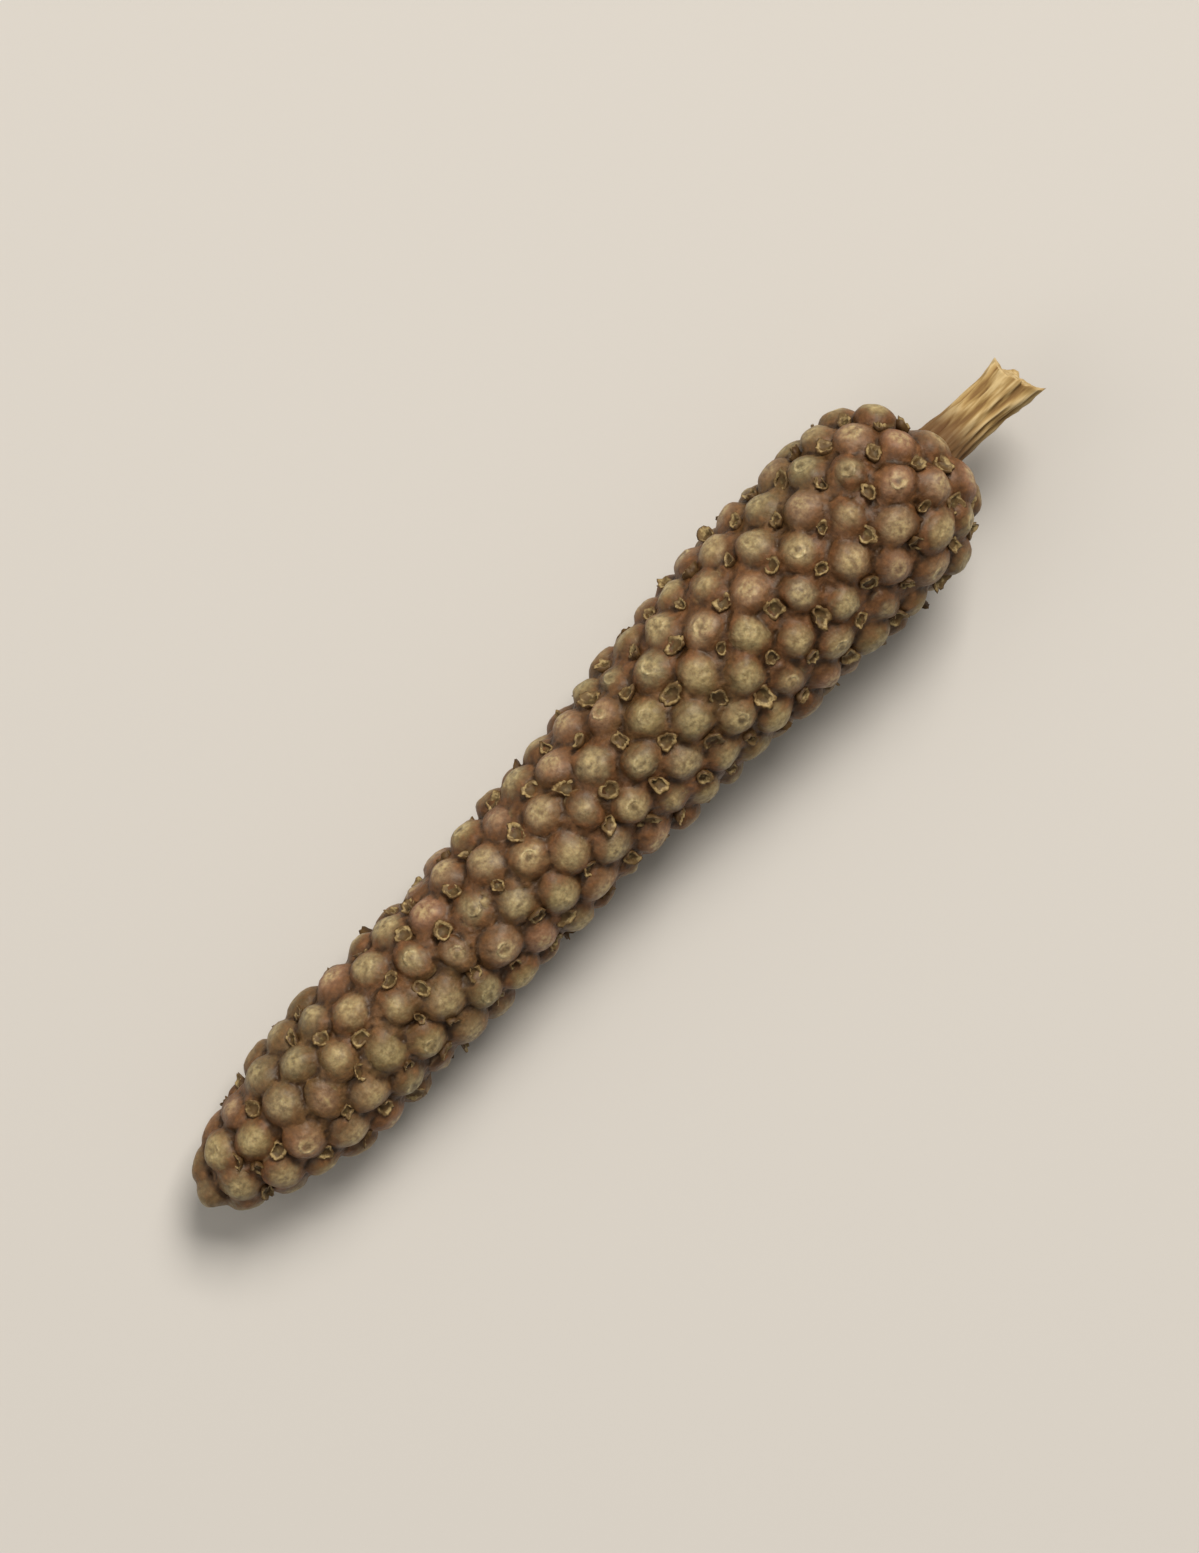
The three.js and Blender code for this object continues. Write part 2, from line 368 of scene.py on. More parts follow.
reach = nearest_reach(arcs, angles)
lumps = np.array([noise.noise(v.co / FLESH_LUMP_SIZE) for v in bm.verts])
folds = np.array([FLESH_FOLD_LEVEL - abs(noise.noise(v.co / FLESH_FOLD_SIZE)) for v in bm.verts])
gap = smoothstep(reach, GAP_FROM, GAP_TO)
heights = -FOOT_DEPTH - (GAP_DEPTH - FOOT_DEPTH) * gap
heights *= smoothstep(END_ARC - arcs, ROOT_TO, ROOT_FROM)
heights += (FLESH_LUMP * lumps + FLESH_FOLD * folds) * smoothstep(END_ARC - arcs, ROOT_FROM, ROOT_FROM + 1)
points = in_frame(arcs, angles, heights)
points[:, 0] = np.minimum(points[:, 0], (outline_x.max() - FOOT_DEPTH + to_frame.x) * MM)
puckers = np.array([noise.noise(Vector((math.cos(a), math.sin(a), 0)) / PUCKER_SIZE) for a in angles])
closed = smoothstep(END_ARC - arcs, COLLAR_FROM, COLLAR_TO)
sway, lift = axis_at(points[:, 0] / MM - to_frame.x)
axis_points = np.stack([sway + to_frame.y, lift], 1) * MM
points[:, 1:] += (axis_points - points[:, 1:]) * (closed * (COLLAR_CLOSES + PUCKER * puckers))[:, None]
points[:, 0] += PUCKER_RISE * MM * puckers * closed
for v, point in zip(bm.verts, points):
    v.co = point
dome_layer = bm.loops.layers.uv.new("dome")
facts_layer = bm.loops.layers.uv.new("facts")
bm.verts.index_update()
for face in bm.faces:
    face.smooth = True
    for loop in face.loops:
        loop[dome_layer].uv = (FAR, FAR)
        loop[facts_layer].uv = (reach[loop.vert.index], FLESH_SEED)
spike = new_object("spike_of_berries", bm)
print("The flesh has", len(spike.data.polygons), "faces")

# %% [markdown]
# ## The berries
#
# A berry starts as a ball. It is squashed a little, lumps are raised by noise, and a few flat facets are
# pressed into it, because neighbours squeezed it while it grew and it shrank as it dried. Some tops have a
# small dimple with a raised crescent beside it, the scar of the flower. Some berries dried almost empty: they
# are narrower, lower and redder, and a ring sank in round their tops.
#
# Two UV maps go with each berry: where a point is on its dome, in millimetres, and how far from the middle
# it is and which berry it is, so that the finish can follow each berry.

# %% Shape one berry
BERRY_SIDES = 20
BERRY_RINGS = 14
BERRY_WIDTH = 1.12  # of its radius in the frame, as dried berries press on each other
BERRY_HEIGHT = 0.66
LEAST_HEIGHT = 0.9
HEIGHT_SPREAD = 0.2
OVAL_SPREAD = 0.1
NOISE_FIELD = 50  # each berry reads its noise somewhere in a cube of this size
LUMP = 0.11
LUMP_SIZE = 0.9
WRINKLE = 0.045
WRINKLE_SIZE = 0.4
FACETS = 5
FACET_TURNS = 0.8
FACET_RISE = (0.1, 0.7)  # the least, and how much more by chance
FACET_REACH = (0.78, 0.16)
FACET_KEEPS = 0.35
PIT = 0.09
PIT_RADIUS = 0.17
CRESCENT = 0.07
CRESCENT_REACH = 0.36
CRESCENT_WIDTH = 0.13
CRESCENT_TURNS = 40.0  # radians for a seed of 1, so each berry's crescent faces another way
SCAR_DICE = 13.7  # this many times the seed, without its whole part, says how plain the scar is
SCAR_FROM = 0.45
SCAR_TO = 0.95
TIP_BERRIES = 3.5  # arc length from the tip, up to which the berries are larger and paler
TIP_WIDER = 1.05
END_NARROWER = 0.84  # the one berry at the very tip
END_HIGHER = 1.35
EMPTY_SHARE = 0.18
EMPTY_SINKS = 0.26
EMPTY_RING = 0.45
EMPTY_RING_WIDTH = 0.25
EMPTY_OVAL = 0.86
EMPTY_FLATTER = 0.75
EMPTY_NARROWER = 0.84
EMPTY_LOWER = 0.1
EMPTY_REDDER = 0.2
LEAN = 0.14


def is_empty(index, berry):
    return draw(index, 14) < EMPTY_SHARE and berry["r"] > 0


def shape_berry(index, berry, bm):
    """Turns the unit ball in bm into one berry, in millimetres, with its Z outwards, and gives its top."""
    where = Vector((draw(index, 11), draw(index, 12), draw(index, 13))) * NOISE_FIELD
    facets = []
    for k in range(FACETS):
        turn = TAU * (k + FACET_TURNS * draw(index, 20 + k)) / FACETS
        rise = FACET_RISE[0] + FACET_RISE[1] * draw(index, 30 + k)
        flat = math.sqrt(1 - rise * rise)
        normal = Vector((flat * math.cos(turn), flat * math.sin(turn), rise))
        facets.append((normal, FACET_REACH[0] + FACET_REACH[1] * draw(index, 40 + k)))
    empty = is_empty(index, berry)
    crescent_turn = CRESCENT_TURNS * draw(index, 18)
    scarred = smoothstep(SCAR_DICE * draw(index, 18) % 1, SCAR_FROM, SCAR_TO)
    lean_x = LEAN * (2 * draw(index, 9) - 1.5)
    lean_y = LEAN * (2 * draw(index, 10) - 1)
    width = BERRY_WIDTH * berry["radius"] * (TIP_WIDER if berry["arc"] < TIP_BERRIES else 1)
    width *= EMPTY_NARROWER if empty else 1
    oval = EMPTY_OVAL if empty else 1 + OVAL_SPREAD * (2 * draw(index, 16) - 1)
    height = BERRY_HEIGHT * (LEAST_HEIGHT + HEIGHT_SPREAD * draw(index, 17))
    height *= EMPTY_FLATTER if empty else 1
    if berry["r"] == 0:
        width *= END_NARROWER
        height *= END_HIGHER
    for v in bm.verts:
        p = v.co.copy()
        for normal, limit in facets:
            over = p.dot(normal) - limit
            if over > 0:
                p -= normal * over * (1 - FACET_KEEPS)
        p *= 1 + LUMP * noise.noise(v.co / LUMP_SIZE + where)
        p *= 1 + WRINKLE * noise.noise(v.co / WRINKLE_SIZE + where)
        rho = math.hypot(v.co.x, v.co.y)
        if v.co.z > 0:
            p.z -= scarred * PIT * math.exp(-((rho / PIT_RADIUS) ** 2))
            around = 0.5 + 0.5 * math.cos(math.atan2(v.co.y, v.co.x) - crescent_turn)
            ridge = math.exp(-(((rho - CRESCENT_REACH) / CRESCENT_WIDTH) ** 2))
            p.z += scarred * CRESCENT * around * ridge
            if empty:
                p.z -= EMPTY_SINKS * math.exp(-(((rho - EMPTY_RING) / EMPTY_RING_WIDTH) ** 2))
        p.x += lean_x * p.z
        p.y += lean_y * p.z
        v.co = Vector((p.x * width * oval, p.y * width / oval, p.z * height))
    return max(v.co.z for v in bm.verts)


# %% Make all berries
TIP_PALER = 0.86

group = bpy.data.collections.new("berries")
bpy.context.scene.collection.children.link(group)
for index, berry in enumerate(berries):
    bm = bmesh.new()
    bmesh.ops.create_uvsphere(bm, u_segments=BERRY_SIDES, v_segments=BERRY_RINGS, radius=1)
    top = shape_berry(index, berry, bm)
    dome_layer = bm.loops.layers.uv.new("dome")
    facts_layer = bm.loops.layers.uv.new("facts")
    seed = draw(index, 18)
    for face in bm.faces:
        face.smooth = True
        for loop in face.loops:
            x, y, z = loop.vert.co
            side = math.hypot(x, y) / berry["radius"] * (TIP_PALER if berry["arc"] < TIP_BERRIES else 1)
            side += EMPTY_REDDER if is_empty(index, berry) else 0
            loop[dome_layer].uv = (x, y)
            loop[facts_layer].uv = (side if z > 0 else 2 - side, seed)
    bmesh.ops.scale(bm, vec=(MM, MM, MM), verts=bm.verts)
    lower = berry["sunken"] + (EMPTY_LOWER if is_empty(index, berry) else 0)
    bmesh.ops.transform(bm, matrix=seat(berry, -lower - top), verts=bm.verts)
    new_object("berry", bm, group)

# %% [markdown]
# ## One body of flesh and berries
#
# A Boolean union joins the flesh and all the berries into one closed surface, so nothing is left inside.
# The Manifold solver is the quick one for closed meshes. It leaves tiny edges, which are merged, and the few
# spots that this tears are patched. Where a berry meets the flesh, the union leaves a sharp crease. There the
# surface is smoothed a second time, which softens the crease as dried flesh does.

# %% Join the berries to the flesh
SMOOTHING = 0.5
FOOT_FROM = 0.8
FOOT_TO = 1.2
SMALLEST_EDGE = 0.012
MENDS = 6
PATCH_REACH = 1.1


def mend(bm):
    """Cuts out the few spots where small edges fell together, and closes each cut with a patch of flesh."""
    dome_layer = bm.loops.layers.uv["dome"]
    facts_layer = bm.loops.layers.uv["facts"]
    for _ in range(MENDS):
        torn = {v for e in bm.edges if len(e.link_faces) != 2 for v in e.verts}
        torn |= {v for v in bm.verts if not v.link_faces}
        if not torn:
            break
        bmesh.ops.delete(bm, geom=list(torn), context="VERTS")
        rims = [e for e in bm.edges if e.is_boundary]
        for face in bmesh.ops.holes_fill(bm, edges=rims, sides=0)["faces"]:
            for loop in face.loops:
                loop[dome_layer].uv = (FAR, FAR)
                loop[facts_layer].uv = (PATCH_REACH, FLESH_SEED)
        bmesh.ops.triangulate(bm, faces=[face for face in bm.faces if len(face.verts) > 3])
    print("Edges that don't join two faces:", sum(len(e.link_faces) != 2 for e in bm.edges))


join = spike.modifiers.new("join", "BOOLEAN")
join.operation = "UNION"
join.operand_type = "COLLECTION"
join.collection = group
join.solver = "MANIFOLD"
bpy.context.view_layer.update()
joined = bpy.data.meshes.new_from_object(spike.evaluated_get(bpy.context.evaluated_depsgraph_get()))
spike.modifiers.remove(join)
for berry_object in list(group.objects):
    bpy.data.meshes.remove(berry_object.data)
bpy.data.collections.remove(group)
print("The union has", len(joined.polygons), "faces")

# %% Mend and smooth the joined body
bm = bmesh.new()
bm.from_mesh(joined)
bmesh.ops.dissolve_degenerate(bm, edges=bm.edges, dist=SMALLEST_EDGE * MM)
bmesh.ops.triangulate(bm, faces=bm.faces)
mend(bm)
facts_layer = bm.loops.layers.uv["facts"]
feet = [v for v in bm.verts if any(FOOT_FROM < loop[facts_layer].uv.x < FOOT_TO for loop in v.link_loops)]
for verts in (bm.verts, feet):
    bmesh.ops.smooth_vert(bm, verts=verts, factor=SMOOTHING,
                          use_axis_x=True, use_axis_y=True, use_axis_z=True)
for v in bm.verts:
    v.co.z = max(v.co.z, 0)
for face in bm.faces:
    face.smooth = True
bm.to_mesh(joined)
bm.free()
joined.name = "spike_of_berries"
spike.data = joined
print("The spike has", len(joined.polygons), "triangles, and", len(feet), "vertices are at a berry's foot")

# %% [markdown]
# Each vertex now measures how deep it lies in a hollow: how far its neighbours' middle is outside it. That
# number is kept as an attribute and spread over the neighbours, and the finish darkens the hollows with it as
# painted shade, and pales the crests, where the skin is rubbed.

# %% Measure the hollows
HOLLOW_SPREADS = 3
LEAST_SPAN = 0.03

ends = np.empty(2 * len(joined.edges), int)
joined.edges.foreach_get("vertices", ends)
starts, stops = ends.reshape(-1, 2).T
places = np.empty(3 * len(joined.vertices))
joined.vertices.foreach_get("co", places)
places = places.reshape(-1, 3) / MM
normals = np.empty(3 * len(joined.vertices))
joined.vertex_normals.foreach_get("vector", normals)
normals = normals.reshape(-1, 3)
degree = np.bincount(ends, minlength=len(places))[:, None]


def neighbours_mean(values):
    total = np.zeros_like(values)
    np.add.at(total, starts, values[stops])
    np.add.at(total, stops, values[starts])
    return total / degree


spans = np.linalg.norm(places[starts] - places[stops], axis=1)
span = np.bincount(starts, spans, len(places)) + np.bincount(stops, spans, len(places))
span = span[:, None] / degree
hollow = ((neighbours_mean(places) - places) * normals).sum(1, keepdims=True)
hollow = hollow / np.maximum(span, LEAST_SPAN) ** 2
for _ in range(HOLLOW_SPREADS):
    hollow = 0.5 * hollow + 0.5 * neighbours_mean(hollow)
attribute = joined.attributes.new("hollow", "FLOAT", "POINT")
attribute.data.foreach_set("value", hollow.ravel())
print("Hollows, per mm:", np.round(np.quantile(hollow, (0.05, 0.25, 0.5, 0.75, 0.95)), 2))

# %% [markdown]
# ## The bracts
#
# In the gap behind each berry sits a bract, a dry scale about half as wide as a berry, with three to five
# corners. Its rim dried up into a thin pale curl round a dark hollow. Each place from the growth rule is
# first moved a little, to where the gap is widest. Wide gaps that still have no bract get one too.

# %% Find the bracts' gaps
BRACT_STEP = 0.07
BRACT_STEPS = 14
BRACT_WAYS = 8
BRACT_SPACE = 0.5  # what a settled bract keeps free round it
NEARBY = 2.6
LEAST_GAP = 0.26
WIDE_GAP = 0.36
SEARCH_STEP = 1.2
TIP_BARE = 1.7  # arc length from the tip


def gap_at(place, settled):
    """The radius of the gap at a place: up to the nearest berry's side or the nearest bract's free space."""
    best = FAR
    for berry in berries:
        if abs(berry["arc"] - place["arc"]) < NEARBY:
            best = min(best, math.hypot(*way_between(place, berry)) - berry["radius"])
    for other in settled:
        if abs(other["arc"] - place["arc"]) < NEARBY:
            best = min(best, math.hypot(*way_between(place, other)) - BRACT_SPACE)
    return best


def settle(place, settled):
    """Moves a place step by step to where its gap is widest."""
    for _ in range(BRACT_STEPS):
        choices = [dict(place)]
        for k in range(BRACT_WAYS):
            way = TAU * k / BRACT_WAYS
            choice = dict(place)
            shift(choice, BRACT_STEP * math.cos(way), BRACT_STEP * math.sin(way))
            choices.append(choice)
        widest = max(choices, key=lambda choice: gap_at(choice, settled))
        if widest == place:
            break
        place = widest
    place["gap"] = gap_at(place, settled)
    return place


bracts = []
for i, berry in enumerate(berries[1:], 1):
    bract = dict(berry)
    shift(bract, BRACTS_BEHIND * CELL_AREA / (TAU * berry["r"]), 0)
    if bract["arc"] < END_ARC - BASE_EDGE:
        bract = settle(bract, bracts)
        if bract["gap"] > LEAST_GAP and bract["arc"] > TIP_BARE:
            bracts.append(bract)
by_rule = len(bracts)
arc = TIP_BARE
while arc < END_ARC - BASE_EDGE:
    r = radius_at(arc)
    around = round(TAU * r / SEARCH_STEP)
    for k in range(around):
        place = settle({"arc": arc, "angle": TAU * k / around, "r": r}, bracts)
        if place["gap"] > WIDE_GAP and TIP_BARE < place["arc"] < END_ARC - BASE_EDGE:
            bracts.append(place)
    arc += SEARCH_STEP
print(by_rule, "bracts by the growth rule, and", len(bracts) - by_rule, "in gaps that were left")

# %% [markdown]
# A bract starts as a disc. Extruding it gives the outer wall, a thin inset gives the rim, and a second inset
# that is pushed down gives the hollow. That is about 80 faces, few enough for a shape that comes back
# hundreds of times. The outline is then pulled to its corners and crumpled.

# %% Make the bracts
BRACT_RADIUS = 0.39
LEAST_BRACT = 0.78  # of that radius
BRACT_SPREAD = 0.42
BRACT_SIDES = 20
BRACT_FLOOR = -0.43
BRACT_FOOT = 0.3
RIM_HEIGHT = 0.13
RIM_WIDTH = 0.23  # of the radius
HOLLOW_EDGE = 0.2
CRINKLE = 0.26
CRUMPLE = 0.07
SHARPNESS = 0.6
BRACT_TILT = 0.6
BRACT_FOLD = 0.7
FOLD_RISE = 0.12
FOOT_NARROWER = 0.7
BRACT_OVAL = 0.16
BRACT_OVERLAP = 0.16  # how far a bract may reach over the berries round its gap
PLAN = {"foot": 1.3, "rim": 1.0, "inner rim": 0.78, "hollow": 0.5, "middle": 0.0}


def corner_radius(angle, corners):
    """A polygon's radius, for a circle of radius 1 round it."""
    share = TAU / corners
    return math.cos(share / 2) / math.cos(angle % share - share / 2)


def level_of(co):
    """Which part of the bract a corner of the plain disc belongs to."""
    inwards = 1 - co.xy.length
    if co.z < 0.5:
        return "foot"
    if inwards > 0.99:
        return "middle"
    if inwards < RIM_WIDTH / 2:
        return "rim"
    return "inner rim" if inwards < 1.5 * RIM_WIDTH else "hollow"


def add_bract(index, bract, bm):
    """Adds one bract to bm, standing on the skin."""
    part = bmesh.new()
    bmesh.ops.create_circle(part, cap_ends=True, segments=BRACT_SIDES, radius=1)
    made = bmesh.ops.extrude_face_region(part, geom=part.faces[:], use_keep_orig=True)["geom"]
    top_face = next(g for g in made if isinstance(g, bmesh.types.BMFace))
    bmesh.ops.translate(part, verts=top_face.verts, vec=(0, 0, 1))
    bmesh.ops.inset_region(part, faces=[top_face], thickness=RIM_WIDTH, use_even_offset=True)
    bmesh.ops.inset_region(part, faces=[top_face], thickness=HOLLOW_EDGE, use_even_offset=True)
    bmesh.ops.poke(part, faces=[top_face])
    levels = {v: level_of(v.co) for v in part.verts}
    corners = 3 + round(2 * draw(index, 50) + 0.1)
    turned = TAU * draw(index, 51)
    size = min(BRACT_RADIUS * (LEAST_BRACT + BRACT_SPREAD * draw(index, 52)), bract["gap"] + BRACT_OVERLAP)
    folded = BRACT_FOLD * max(0, 1.6 * draw(index, 59) - 0.6)
    oval = 1 + BRACT_OVAL * (2 * draw(index, 53) - 1)
    tilt = Vector((BRACT_TILT * (2 * draw(index, 54) - 1), BRACT_TILT * (2 * draw(index, 58) - 1)))
    where = Vector((draw(index, 55), draw(index, 56), draw(index, 57))) * 40
    uv_layer = part.loops.layers.uv.new("plan")
    for face in part.faces:
        face.smooth = True
        for loop in face.loops:
            far = PLAN[levels[loop.vert]]
            angle = math.atan2(loop.vert.co.y, loop.vert.co.x)
            loop[uv_layer].uv = (far * math.cos(angle), far * math.sin(angle))
    for v, level in levels.items():
        angle = math.atan2(v.co.y, v.co.x)
        around = Vector((math.cos(angle), math.sin(angle), 0))
        sharp = 1 + SHARPNESS * (corner_radius(angle + turned, corners) - 1)
        thinner = where * 1.5 if level == "inner rim" else where
        quick_crinkle = CRINKLE * noise.noise(around * 3.4 + thinner)
        slow_crinkle = CRINKLE * noise.noise(around * 1.1 + where)
        crinkle = 1 + quick_crinkle + slow_crinkle
        slow_curl = 1.3 * noise.noise(around * 0.9 + where)
        quick_curl = 0.9 * noise.noise(around * 2.6 + where)
        curl = max(-0.2, 0.7 + slow_curl + quick_curl)
        fold = folded * max(0, math.cos(angle + 2 * turned)) ** 2 if "rim" in level else 0
        crumple = CRUMPLE * noise.noise(around * 2.4 + where * 2)
        height = {"foot": -BRACT_FOOT, "rim": RIM_HEIGHT * curl, "inner rim": RIM_HEIGHT * curl,
                  "hollow": crumple - CRUMPLE, "middle": crumple}[level] + FOLD_RISE * fold
        narrow = FOOT_NARROWER if level == "foot" else 1 - fold
        x = v.co.x * size * sharp * crinkle * oval * narrow
        y = v.co.y * size * sharp * crinkle / oval * narrow
        v.co = (x, y, height + tilt.x * x + tilt.y * y)
    bmesh.ops.recalc_face_normals(part, faces=part.faces)
    bmesh.ops.scale(part, vec=(MM, MM, MM), verts=part.verts)
    bmesh.ops.transform(part, matrix=seat(bract, BRACT_FLOOR), verts=part.verts)
    mesh = bpy.data.meshes.new("part")
    part.to_mesh(mesh)
    part.free()
    bm.from_mesh(mesh)
    bpy.data.meshes.remove(mesh)


bm = bmesh.new()
for index, bract in enumerate(bracts):
    add_bract(index, bract, bm)
for v in bm.verts:
    v.co.z = max(v.co.z, 0)
bract_piece = new_object("bracts", bm)
print("The bracts have", sum(len(face.vertices) - 2 for face in bract_piece.data.polygons), "triangles")

# %% [markdown]
# ## The stalk
#
# The stalk is a bundle of woody fibres, so it is ridged lengthwise. A circle is extruded ring by ring, the
# rings are ridged and narrowed at the waist, and the end is torn slantwise, with some fibres longer than
# others. The last rings shrink towards the middle and lose their ridges on the way, which gives the cut end
# an uneven face without a star of folds.

# %% Shape the stalk
STALK_OUT = 3.75
STALK_RADIUS = 0.92
STALK_WAIST = 0.3
STALK_FLARE = 0.35
STALK_CUT = 0.3
STALK_CUT_FACES = 0.6
STALK_SIDES = 96
STALK_RINGS = 44
JOINT_GAP = 0.3
STALK_TWIST = 0.25
STRAND = 0.34
STRAND_SIZE = 0.33
STRAND_LENGTH = 2.6
SPLIT = 0.08
ROOT_FLARE = 0.06
RAGGED = 0.24
END_SHARES = (0.95, 0.86, 0.72, 0.55, 0.36, 0.16)  # the rings of the cut end, in shares of its radius
END_SINKS = 0.12
END_LUMP = 0.14
END_LUMP_SIZE = 0.4
END_PALENESS = 0.7
END_PORES = 0.8

stalk_from = SPIKE_LENGTH - SOCKET_DEPTH + JOINT_GAP / 2
stalk_to = SPIKE_LENGTH + STALK_OUT


def stalk_point(t, angle, share):
    """A point of the stalk, in millimetres from the tip, and how pale it is there.

    t goes from 0 at the root to 1 at the cut. The share is 1 on the side and 0 in the middle of the cut."""
    twisted = angle + STALK_TWIST * t
    around = Vector((math.cos(twisted), math.sin(twisted), 0)) * STALK_RADIUS
    along = Vector((0, 0, t * STALK_OUT / STRAND_LENGTH))
    strand = 0.08 - abs(noise.noise(around / STRAND_SIZE + along))
    split = noise.noise(around * 3 / STRAND_SIZE + 3 * along)
    even_radius = STALK_RADIUS + STALK_FLARE * (t - STALK_WAIST) ** 2 + ROOT_FLARE * (1 - t) ** 6
    r = share * (even_radius + share**2 * (STRAND * strand + SPLIT * split))
    cut = STALK_CUT * t * t * (STALK_RADIUS + r * math.cos(angle - STALK_CUT_FACES))
    torn = share**3 * RAGGED * t**6 * (noise.noise(around * 1.6 + Vector((5, 0, 0))) + 1.2 * strand)
    spot = Vector((r * math.cos(angle), r * math.sin(angle), 0)) / END_LUMP_SIZE
    dished = (1 - share**2) * (END_LUMP * noise.noise(spot) - END_SINKS)
    x = stalk_from + (stalk_to - stalk_from) * t - cut + torn + dished
    sway, lift = axis_at(x)
    point = Vector((x, sway + r * math.cos(angle), lift + r * math.sin(angle)))
    if share < 1:
        return point, END_PALENESS + END_PORES * noise.noise(spot * 3)
    # the side's ridges are painted paler and its grooves darker: partly the straw's streaks, partly painted
    # highlight and shade
    return point, max(0, 0.72 + 1.7 * strand + 0.9 * split)


# %% Extrude the stalk's rings
bm = bmesh.new()
bmesh.ops.create_circle(bm, cap_ends=False, segments=STALK_SIDES, radius=1)
place_of = {v: (0.0, 1.0) for v in bm.verts}
edges = bm.edges[:]
bmesh.ops.contextual_create(bm, geom=edges)
side_rings = [(i / STALK_RINGS, 1.0) for i in range(1, STALK_RINGS + 1)]
for t, share in side_rings + [(1.0, share) for share in END_SHARES]:
    made = bmesh.ops.extrude_edge_only(bm, edges=edges)["geom"]
    new_ring = [g for g in made if isinstance(g, bmesh.types.BMVert)]
    for v in new_ring:
        place_of[v] = (t, share)
    edges = [g for g in made if isinstance(g, bmesh.types.BMEdge) and all(v in new_ring for v in g.verts)]
end_face = bmesh.ops.contextual_create(bm, geom=edges)["faces"][0]
paleness_of = {}
for v, (t, share) in place_of.items():
    point, paleness_of[v] = stalk_point(t, math.atan2(v.co.y, v.co.x), share)
    v.co = (point + to_frame) * MM
bmesh.ops.poke(bm, faces=[end_face])
bmesh.ops.recalc_face_normals(bm, faces=bm.faces)
streak_layer = bm.loops.layers.uv.new("strands")
for face in bm.faces:
    face.smooth = True
    for loop in face.loops:
        loop[streak_layer].uv = (paleness_of.get(loop.vert, END_PALENESS), 0)
stalk = new_object("cut_stalk", bm)
print("The stalk has", len(stalk.data.polygons), "faces")

# %% [markdown]
# ## Tools for the materials
#
# Colours are written as sRGB hex values, as a colour picker shows them, and turned to linear light here.
# One small function adds a node, sets it and links it.

# %% Colour and node helpers
MIXED_COLOUR = 2  # a Mix node's third output is its colour


def colour(hex_value):
    """A linear RGBA colour from an sRGB hex value."""
    parts = [int(hex_value[i : i + 2], 16) / 255 for i in (1, 3, 5)]
    return [p / 12.92 if p <= 0.04045 else ((p + 0.055) / 1.055) ** 2.4 for p in parts] + [1]


def add_node(tree, kind, inputs=None, ramp=None, **settings):
    """Adds a shader node with its settings, and sets or links its inputs. A ramp has places and colours."""
    node = tree.nodes.new("ShaderNode" + kind)
    for name, value in settings.items():
        setattr(node, name, value)
    for key, value in (inputs or {}).items():
        socket = next((s for s in node.inputs if s.identifier == key), None) or node.inputs[key]
        if isinstance(value, bpy.types.NodeSocket):
            tree.links.new(value, socket)
        else:
            socket.default_value = value
    if ramp:
        stops = node.color_ramp.elements
        while len(stops) < len(ramp):
            stops.new(1)
        for stop, (place, hex_value) in zip(stops, ramp):
            stop.position = place
            stop.color = colour(hex_value)
    return node


def new_material(name):
    material = bpy.data.materials.new(name)
    material.use_nodes = True
    material.node_tree.nodes.clear()
    return material, material.node_tree


# %% [markdown]
# ## Dried berry skin
#
# The skin dried from red to a dull brown. A berry's top is olive or tan and a little waxy, and its paleness
# is partly its own colour and partly painted highlight, broken into painted highlight flecks. Its sides and
# the flesh between are redder, and the deepest hollows are darkened with painted shade. The tint changes from
# berry to berry, and fine wrinkles cover everything. The first cell reads where a point lies and makes the
# patterns that the other cells use, each as wide as the spots on the real skin.

# %% Read the skin and make its patterns
PATCH = 6 * MM  # olive tissue, several berries wide
MOTTLE = 0.5 * MM  # a few blotches on each berry
SPECKLE = 0.2 * MM  # painted highlight flecks on the berries' tops, and a speckled tone all over the skin

skin, tree = new_material("dried_berry_skin")
where = add_node(tree, "TexCoord").outputs["Object"]
facts = add_node(tree, "UVMap", uv_map="facts").outputs["UV"]
facts_parts = add_node(tree, "SeparateXYZ", {"Vector": facts})
reach_out = facts_parts.outputs["X"]
seed_out = facts_parts.outputs["Y"]
dome = add_node(tree, "UVMap", uv_map="dome").outputs["UV"]
hollow_out = add_node(tree, "Attribute", attribute_name="hollow").outputs["Fac"]
patch = add_node(tree, "TexNoise", {"Vector": where, "Scale": 1 / PATCH, "Detail": 1.0})
mottle = add_node(tree, "TexNoise", {
    "Vector": where, "Scale": 1 / MOTTLE, "Detail": 4.0, "Roughness": 0.6,
}).outputs["Fac"]
speckle = add_node(tree, "TexNoise", {
    "Vector": where, "Scale": 1 / SPECKLE, "Detail": 3.0,
}).outputs["Fac"]
highlight_flecks = add_node(tree, "MapRange", {
    "Value": speckle, "From Min": 0.25, "From Max": 0.68, "To Max": 0.75,
}, interpolation_type="SMOOTHSTEP").outputs["Result"]
wobble = add_node(tree, "Math", {
    "Value": mottle, "Value_001": 0.8, "Value_002": -0.4,
}, operation="MULTIPLY_ADD").outputs["Value"]
wobbly = add_node(tree, "Math", {
    "Value": reach_out, "Value_001": wobble,
}, operation="ADD").outputs["Value"]
print("The skin reads the maps facts and dome and the attribute hollow")

